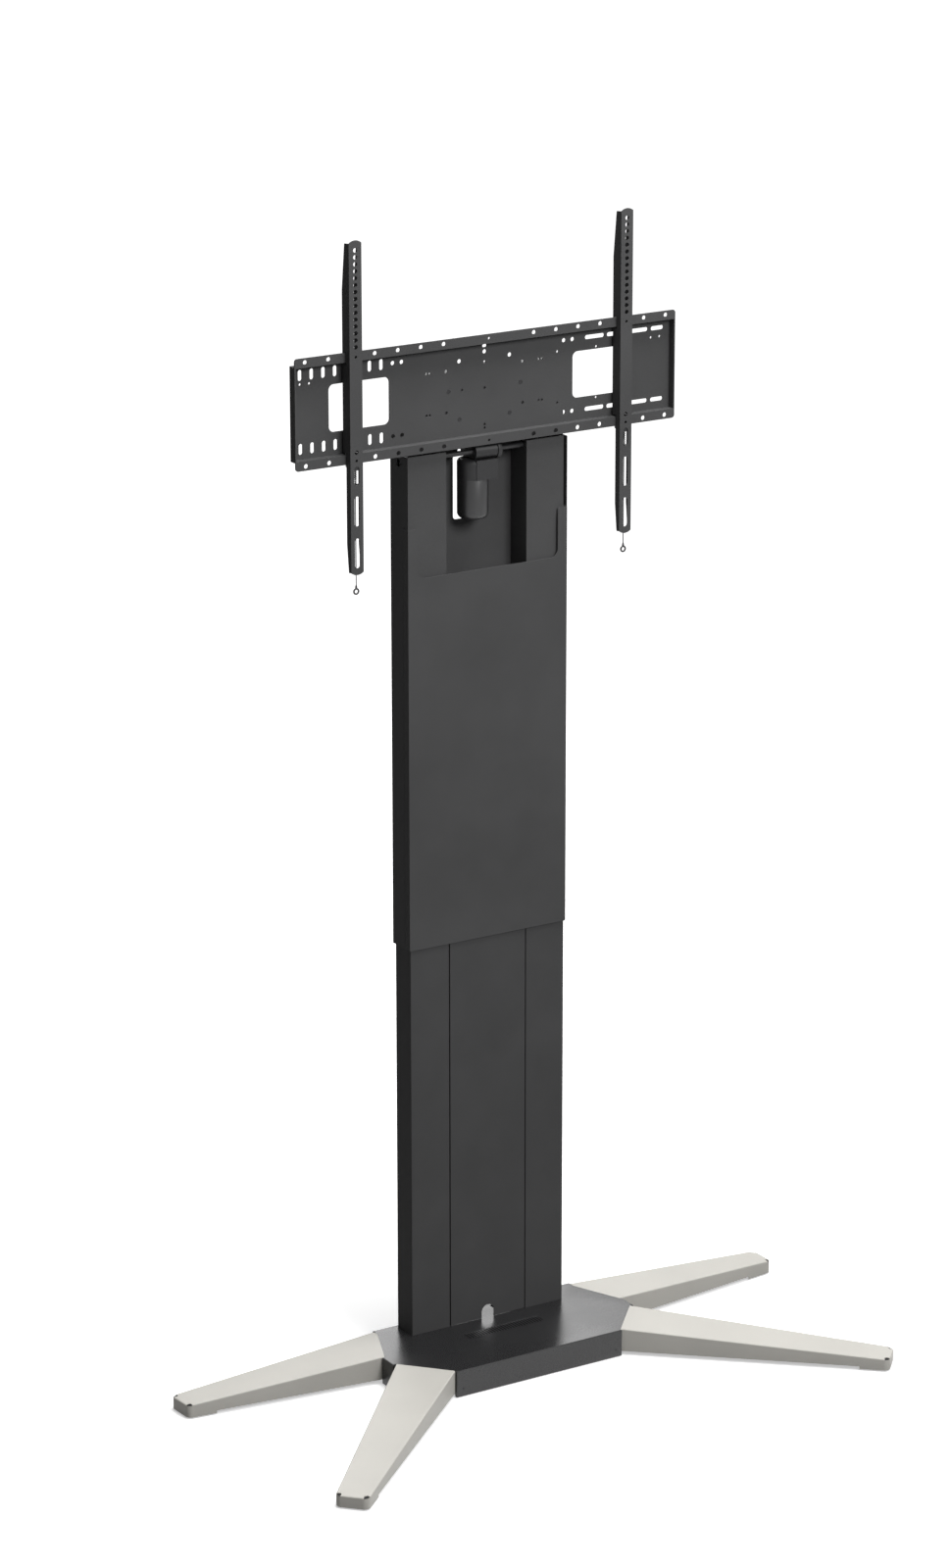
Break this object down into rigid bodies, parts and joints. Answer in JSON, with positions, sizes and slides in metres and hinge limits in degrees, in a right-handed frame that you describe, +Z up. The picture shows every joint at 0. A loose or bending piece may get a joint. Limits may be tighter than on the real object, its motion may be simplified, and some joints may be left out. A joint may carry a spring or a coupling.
{
  "type": "motorized display stand",
  "caption": "Height-adjustable display stand: a twin-spindle lift column on a low base with four spread legs, and a slotted wall plate with two sliding hook-on strips.",
  "frame": {"origin": "on the floor, under the middle of the footprint", "axes": "+Z up, +X to the right as seen by the audience, the display side faces -Y"},
  "size_m": [1.3788, 0.6004, 2.2775],
  "materials": {
    "anthracite_coat": "fine textured powder coat, satin, anthracite",
    "lower_coat": "fine textured powder coat, satin, anthracite",
    "base_coat": "fine textured powder coat, satin, anthracite",
    "champagne_coat": "metallic lacquer, champagne silver, satin",
    "black_steel": "matt black coated steel",
    "zinc_steel": "bright zinc plated",
    "bronze": "machined",
    "guide_plastic": "smooth moulded",
    "black_plastic": "fine matt",
    "foot_rubber": "matt",
    "motor_black": "semi gloss black lacquer",
    "cord_black": "braided cord"
  },
  "bodies": {
    "base": {"base_cover": "base_coat", "base_chassis": "black_steel", "leg_cover_front_left": "champagne_coat", "leg_cover_front_right": "champagne_coat", "leg_cover_back_left": "champagne_coat", "leg_cover_back_right": "champagne_coat", "leg_beam_front_left": "black_steel", "leg_beam_front_right": "black_steel", "leg_beam_back_left": "black_steel", "leg_beam_back_right": "black_steel", "chassis_bolts": "zinc_steel", "cover_screws": "black_steel", "control_box": "black_plastic", "power_inlet": "black_plastic", "lower_post_left": "lower_coat", "lower_post_right": "lower_coat", "lower_front_panel": "lower_coat", "lower_back_panel": "lower_coat", "push_tube_left": "zinc_steel", "push_tube_right": "zinc_steel", "spindle_nuts": "bronze", "upper_guide_pads": "guide_plastic"},
    "carriage": {"inner_post_left": "zinc_steel", "inner_post_right": "zinc_steel", "lower_guide_pads": "guide_plastic", "outer_shell": "anthracite_coat", "front_cover": "anthracite_coat", "post_cover_left": "anthracite_coat", "post_cover_right": "anthracite_coat", "head_frame": "black_steel", "top_cap": "black_steel", "motor": "motor_black", "gearbox_housing": "black_steel", "shaft_bushes": "guide_plastic", "spindle_bearings": "black_steel", "interface_plate": "anthracite_coat", "plate_bolts": "black_steel"},
    "cross_shaft": {"cross_shaft": "black_steel", "worm_wheel": "bronze", "shaft_gears": "zinc_steel"},
    "worm": {"worm": "zinc_steel"},
    "spindle_left": {"spindle_left": "zinc_steel", "spindle_gear_left": "zinc_steel"},
    "spindle_right": {"spindle_right": "zinc_steel", "spindle_gear_right": "zinc_steel"},
    "strip_left": {"strip_left": "anthracite_coat", "latch_spring_left": "black_steel"},
    "strip_right": {"strip_right": "anthracite_coat", "latch_spring_right": "black_steel"},
    "latch_left": {"latch_left": "black_steel", "pull_cord_left": "cord_black", "pull_ring_left": "black_plastic"},
    "latch_right": {"latch_right": "black_steel", "pull_cord_right": "cord_black", "pull_ring_right": "black_plastic"},
    "foot_front_left": {"levelling_foot_front_left": "foot_rubber"},
    "foot_front_right": {"levelling_foot_front_right": "foot_rubber"},
    "foot_back_left": {"levelling_foot_back_left": "foot_rubber"},
    "foot_back_right": {"levelling_foot_back_right": "foot_rubber"}
  },
  "joints": [
    {"name": "lift", "type": "slide", "parent": "base", "child": "carriage", "axis": [0, 0, 1], "range_m": [-0.64, 0]},
    {"name": "spindle_left_turn", "type": "hinge", "parent": "carriage", "child": "spindle_left", "pos_m": [-0.13237, 0.25638, 1.8], "axis": [0, 0, 1], "range_deg": [-11700, 11700]},
    {"name": "spindle_right_turn", "type": "hinge", "parent": "carriage", "child": "spindle_right", "pos_m": [0.13237, 0.25638, 1.8], "axis": [0, 0, 1], "range_deg": [-11700, 11700]},
    {"name": "cross_shaft_turn", "type": "hinge", "parent": "carriage", "child": "cross_shaft", "pos_m": [0, 0.25638, 1.836], "axis": [1, 0, 0], "range_deg": [-11700, 11700]},
    {"name": "worm_turn", "type": "hinge", "parent": "carriage", "child": "worm", "pos_m": [-0.014, 0.26938, 1.836], "axis": [0, 0, 1], "range_deg": [-207540, 207540]},
    {"name": "strip_left_slide", "type": "slide", "parent": "carriage", "child": "strip_left", "axis": [1, 0, 0], "range_m": [-0.1, 0.1]},
    {"name": "strip_right_slide", "type": "slide", "parent": "carriage", "child": "strip_right", "axis": [1, 0, 0], "range_m": [-0.1, 0.1]},
    {"name": "latch_left_pull", "type": "slide", "parent": "strip_left", "child": "latch_left", "axis": [0, 0, -1], "range_m": [0, 0.01], "stiffness_N_per_m": 1200, "springref_m": -0.008, "deforming": ["latch_spring_left"]},
    {"name": "latch_right_pull", "type": "slide", "parent": "strip_right", "child": "latch_right", "axis": [0, 0, -1], "range_m": [0, 0.01], "stiffness_N_per_m": 1200, "springref_m": -0.008, "deforming": ["latch_spring_right"]},
    {"name": "foot_front_left_screw", "type": "slide", "parent": "base", "child": "foot_front_left", "axis": [0, 0, 1], "range_m": [-0.006, 0]},
    {"name": "foot_front_right_screw", "type": "slide", "parent": "base", "child": "foot_front_right", "axis": [0, 0, 1], "range_m": [-0.006, 0]},
    {"name": "foot_back_left_screw", "type": "slide", "parent": "base", "child": "foot_back_left", "axis": [0, 0, 1], "range_m": [-0.006, 0]},
    {"name": "foot_back_right_screw", "type": "slide", "parent": "base", "child": "foot_back_right", "axis": [0, 0, 1], "range_m": [-0.006, 0]}
  ],
  "couplings": [
    {"joint": "spindle_left_turn", "follows": "lift", "rad_per_m": -314.16},
    {"joint": "spindle_right_turn", "follows": "lift", "rad_per_m": 314.16},
    {"joint": "cross_shaft_turn", "follows": "lift", "rad_per_m": -314.16},
    {"joint": "worm_turn", "follows": "lift", "rad_per_m": 5654.9}
  ]
}
